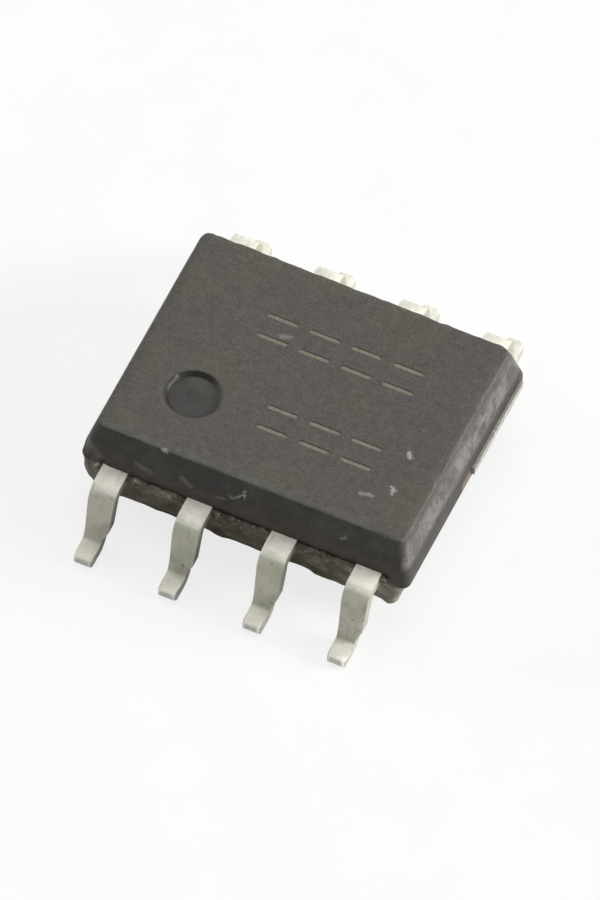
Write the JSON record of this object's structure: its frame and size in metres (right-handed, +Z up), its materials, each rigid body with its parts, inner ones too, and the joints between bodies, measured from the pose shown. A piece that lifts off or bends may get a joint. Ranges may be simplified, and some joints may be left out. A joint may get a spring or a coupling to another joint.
{
  "type": "soic chip",
  "caption": "Small-outline integrated circuit: drafted moulded body with a pin 1 dimple and gull-wing leads along both long sides.",
  "frame": {"origin": "centre of the package on the plane that its feet stand on", "axes": "+X along the package away from the pin 1 end, +Y across it towards pins 5 to 8, +Z up through the marked face"},
  "size_m": [0.005, 0.006, 0.0017],
  "materials": {
    "mould_compound": "matte",
    "tin_plate": "satin",
    "frame_copper": "satin",
    "die_adhesive": "matte",
    "silicon": "gloss",
    "gold_wire": "gloss"
  },
  "bodies": {
    "root": {"body": "mould_compound", "lead_1": "tin_plate", "lead_2": "tin_plate", "lead_3": "tin_plate", "lead_4": "tin_plate", "lead_5": "tin_plate", "lead_6": "tin_plate", "lead_7": "tin_plate", "lead_8": "tin_plate", "die_paddle": "frame_copper", "die_attach": "die_adhesive", "die": "silicon", "bond_wire_1": "gold_wire", "bond_wire_2": "gold_wire", "bond_wire_3": "gold_wire", "bond_wire_4": "gold_wire", "bond_wire_5": "gold_wire", "bond_wire_6": "gold_wire", "bond_wire_7": "gold_wire", "bond_wire_8": "gold_wire"}
  },
  "joints": []
}
